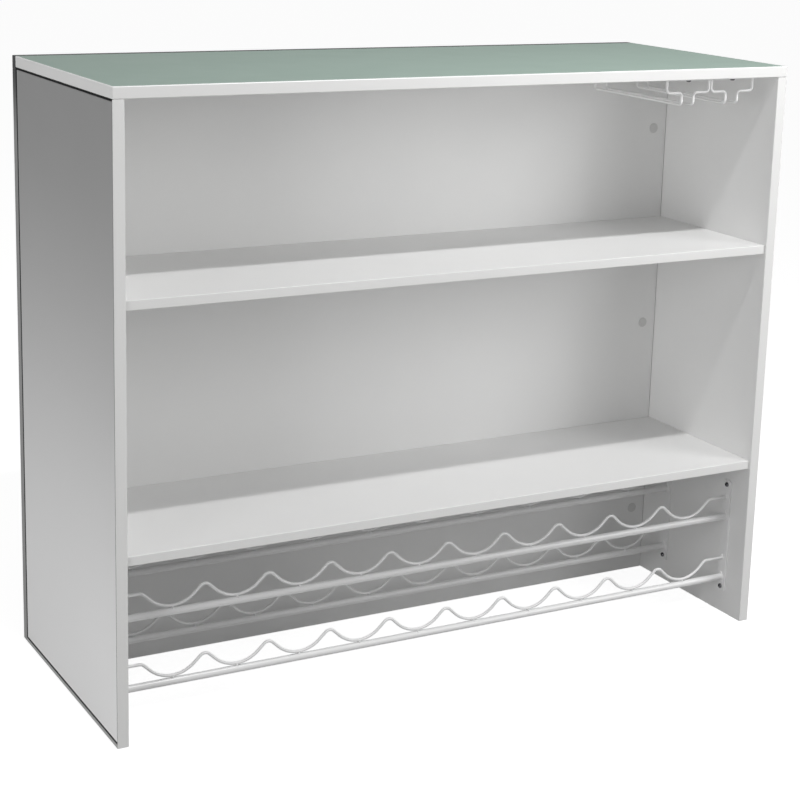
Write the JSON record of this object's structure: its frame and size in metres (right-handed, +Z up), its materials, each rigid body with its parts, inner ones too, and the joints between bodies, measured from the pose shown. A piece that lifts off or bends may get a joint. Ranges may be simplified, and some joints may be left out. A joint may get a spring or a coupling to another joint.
{
  "type": "bar counter with shelves",
  "caption": "Free-standing white home bar counter with a sage top, open shelves, a waved-wire bottle rack near the floor and a hanging stemware rack under the top.",
  "frame": {"origin": "on the floor under the middle of the counter", "axes": "+X to the right seen from the working side, +Y towards the customer side, +Z up"},
  "size_m": [1.2, 0.468, 1],
  "materials": {
    "white_board": "white melamine, satin",
    "white_band": "satin",
    "sage_surface": "sage laminate, satin",
    "grey_sheet": "grey, glossy",
    "black_gasket": "black, matt",
    "dark_board": "charcoal laminate, satin",
    "white_wire": "white powder coat",
    "black_screw": "black zinc",
    "cam_cover": "light grey plastic",
    "zinc_bolt": "zinc plated"
  },
  "bodies": {
    "root": {"countertop_board": "white_board", "countertop_surface": "sage_surface", "left_side_board": "white_board", "left_side_sheet": "grey_sheet", "left_side_gasket": "black_gasket", "left_side_edge_band": "white_band", "right_side_board": "white_board", "right_side_sheet": "grey_sheet", "right_side_gasket": "black_gasket", "right_side_edge_band": "white_band", "back_panel": "white_board", "customer_side_panel": "dark_board", "upper_shelf": "white_board", "upper_shelf_edge_band": "white_band", "lower_shelf": "white_board", "lower_shelf_edge_band": "white_band", "rack_front_left_plate": "white_wire", "rack_front_left_lower_screw": "black_screw", "rack_front_left_upper_screw": "black_screw", "rack_front_right_plate": "white_wire", "rack_front_right_lower_screw": "black_screw", "rack_front_right_upper_screw": "black_screw", "rack_front_lower_tube": "white_wire", "rack_front_lower_wave": "white_wire", "rack_front_upper_tube": "white_wire", "rack_front_upper_wave": "white_wire", "rack_rear_left_plate": "white_wire", "rack_rear_left_lower_screw": "black_screw", "rack_rear_left_upper_screw": "black_screw", "rack_rear_right_plate": "white_wire", "rack_rear_right_lower_screw": "black_screw", "rack_rear_right_upper_screw": "black_screw", "rack_rear_lower_tube": "white_wire", "rack_rear_lower_wave": "white_wire", "rack_rear_upper_tube": "white_wire", "rack_rear_upper_wave": "white_wire", "stem_rack_1_left_wire": "white_wire", "stem_rack_1_right_wire": "white_wire", "stem_rack_1_front_strap": "white_wire", "stem_rack_1_front_screw": "black_screw", "stem_rack_1_rear_strap": "white_wire", "stem_rack_1_rear_screw": "black_screw", "stem_rack_2_left_wire": "white_wire", "stem_rack_2_right_wire": "white_wire", "stem_rack_2_front_strap": "white_wire", "stem_rack_2_front_screw": "black_screw", "stem_rack_2_rear_strap": "white_wire", "stem_rack_2_rear_screw": "black_screw", "cam_lock_left_1": "cam_cover", "cam_bolt_left_1": "zinc_bolt", "cam_lock_left_2": "cam_cover", "cam_bolt_left_2": "zinc_bolt", "cam_lock_left_3": "cam_cover", "cam_bolt_left_3": "zinc_bolt", "cam_lock_right_1": "cam_cover", "cam_bolt_right_1": "zinc_bolt", "cam_lock_right_2": "cam_cover", "cam_bolt_right_2": "zinc_bolt", "cam_lock_right_3": "cam_cover", "cam_bolt_right_3": "zinc_bolt"}
  },
  "joints": []
}
